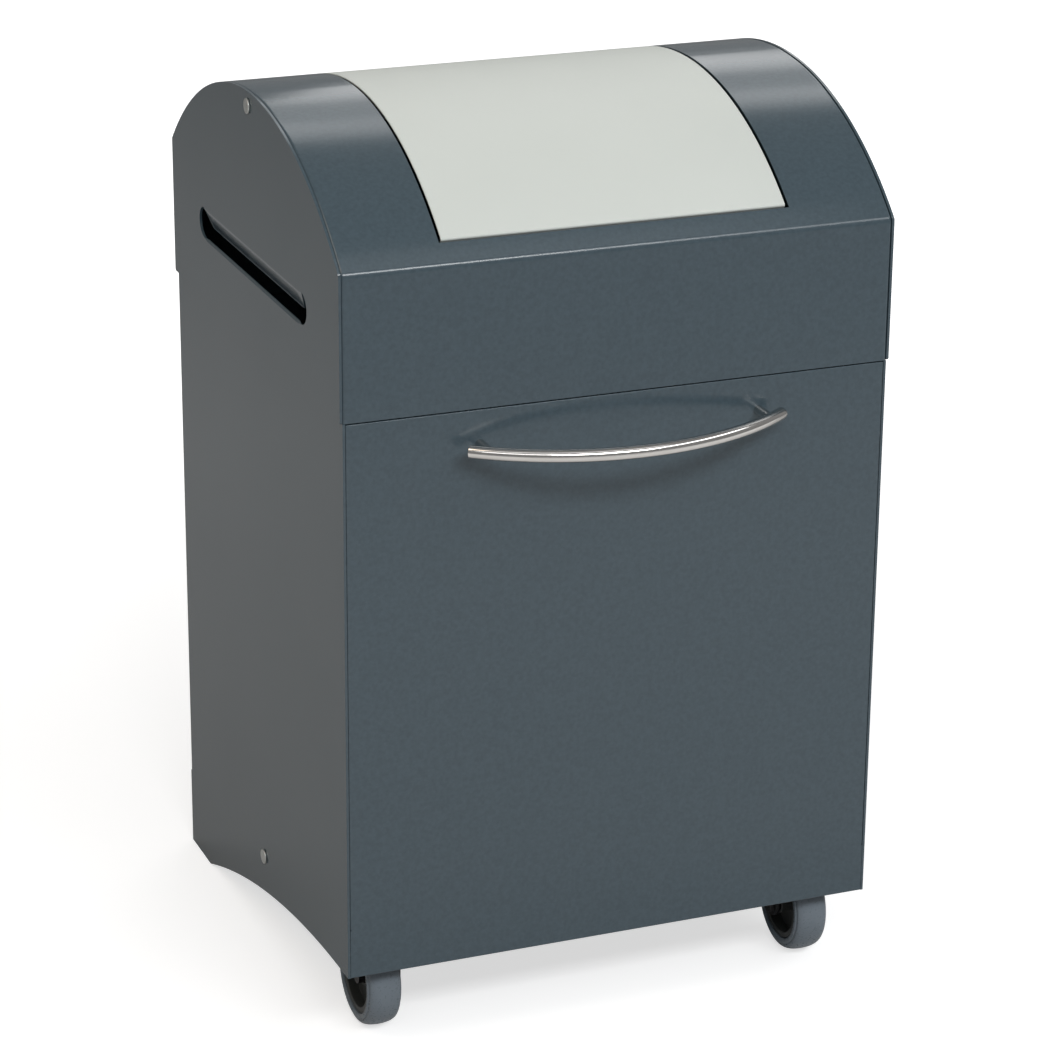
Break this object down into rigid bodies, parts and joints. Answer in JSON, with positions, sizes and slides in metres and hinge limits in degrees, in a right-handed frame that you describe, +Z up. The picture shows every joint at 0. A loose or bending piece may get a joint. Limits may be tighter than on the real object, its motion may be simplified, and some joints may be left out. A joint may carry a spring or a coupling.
{
  "type": "recycling bin",
  "caption": "Sheet-steel recycling bin with a barrel hood, a self-closing swing flap and a tilt-out front with bow handle that carries the inner container, on front wheels and rear feet.",
  "frame": {"origin": "on the floor, under the middle of the housing's width and depth", "axes": "+X to the right seen from the front, +Y to the back, +Z up; the front faces -Y"},
  "size_m": [0.444, 0.477, 0.71],
  "materials": {
    "housing_paint": "fine-textured powder coat, satin",
    "flap_paint": "smooth powder coat, satin",
    "stainless": "brushed along the bar",
    "zinc_steel": "bright zinc plate",
    "black_steel": "black dip coat, satin",
    "screw_heads": "dull zinc plate",
    "nylon": "moulded, natural",
    "tyre_rubber": "grey thermoplastic rubber, satin",
    "hub_plastic": "moulded",
    "container_plastic": "moulded, fine grain",
    "magnet_case": "moulded",
    "buffer_rubber": "moulded"
  },
  "bodies": {
    "housing": {"axle_screws": "screw_heads", "back_panel": "housing_paint", "back_rivets": "zinc_steel", "body_side_left": "housing_paint", "body_side_right": "housing_paint", "bracket_screws": "zinc_steel", "catch_magnet": "magnet_case", "door_jamb_left": "housing_paint", "door_jamb_right": "housing_paint", "flap_axle": "zinc_steel", "flap_stop_left": "zinc_steel", "flap_stop_right": "zinc_steel", "floor_panel": "housing_paint", "front_top_rail": "housing_paint", "hood_nuts": "zinc_steel", "hood_shell": "housing_paint", "hood_side_left": "housing_paint", "hood_side_right": "housing_paint", "tie_rod": "zinc_steel", "tie_screws": "screw_heads", "tilt_pin_left": "zinc_steel", "tilt_pin_right": "zinc_steel", "wheel_bolt_left": "black_steel", "wheel_bolt_right": "black_steel", "wheel_bracket_left": "black_steel", "wheel_bracket_right": "black_steel", "wheel_nuts": "black_steel"},
    "flap": {"flap_bracket_left": "zinc_steel", "flap_bracket_right": "zinc_steel", "flap_bush_left": "nylon", "flap_bush_right": "nylon", "flap_panel": "flap_paint"},
    "front": {"cradle_cheek_left": "housing_paint", "cradle_cheek_right": "housing_paint", "cradle_tray": "housing_paint", "front_panel": "housing_paint", "handle_bar": "stainless", "handle_posts": "stainless", "handle_screws": "zinc_steel", "inner_container": "container_plastic", "stop_roller_left": "buffer_rubber", "stop_roller_right": "buffer_rubber", "tilt_bush_left": "nylon", "tilt_bush_right": "nylon", "tilt_ear_left": "zinc_steel", "tilt_ear_right": "zinc_steel"},
    "wheel_left": {"tyre_left": "tyre_rubber", "wheel_bush_left": "hub_plastic", "wheel_hub_left": "hub_plastic"},
    "wheel_right": {"tyre_right": "tyre_rubber", "wheel_bush_right": "hub_plastic", "wheel_hub_right": "hub_plastic"}
  },
  "joints": [
    {"name": "flap_swing", "type": "hinge", "parent": "housing", "child": "flap", "pos_m": [0, 0, 0.699], "axis": [1, 0, 0], "range_deg": [-30, 30]},
    {"name": "front_tilt", "type": "hinge", "parent": "housing", "child": "front", "pos_m": [0, -0.196, 0.084], "axis": [1, 0, 0], "range_deg": [0, 28]},
    {"name": "wheel_left_spin", "type": "hinge", "parent": "housing", "child": "wheel_left", "pos_m": [-0.182, -0.1545, 0.04], "axis": [1, 0, 0], "continuous": true},
    {"name": "wheel_right_spin", "type": "hinge", "parent": "housing", "child": "wheel_right", "pos_m": [0.182, -0.1545, 0.04], "axis": [1, 0, 0], "continuous": true}
  ]
}
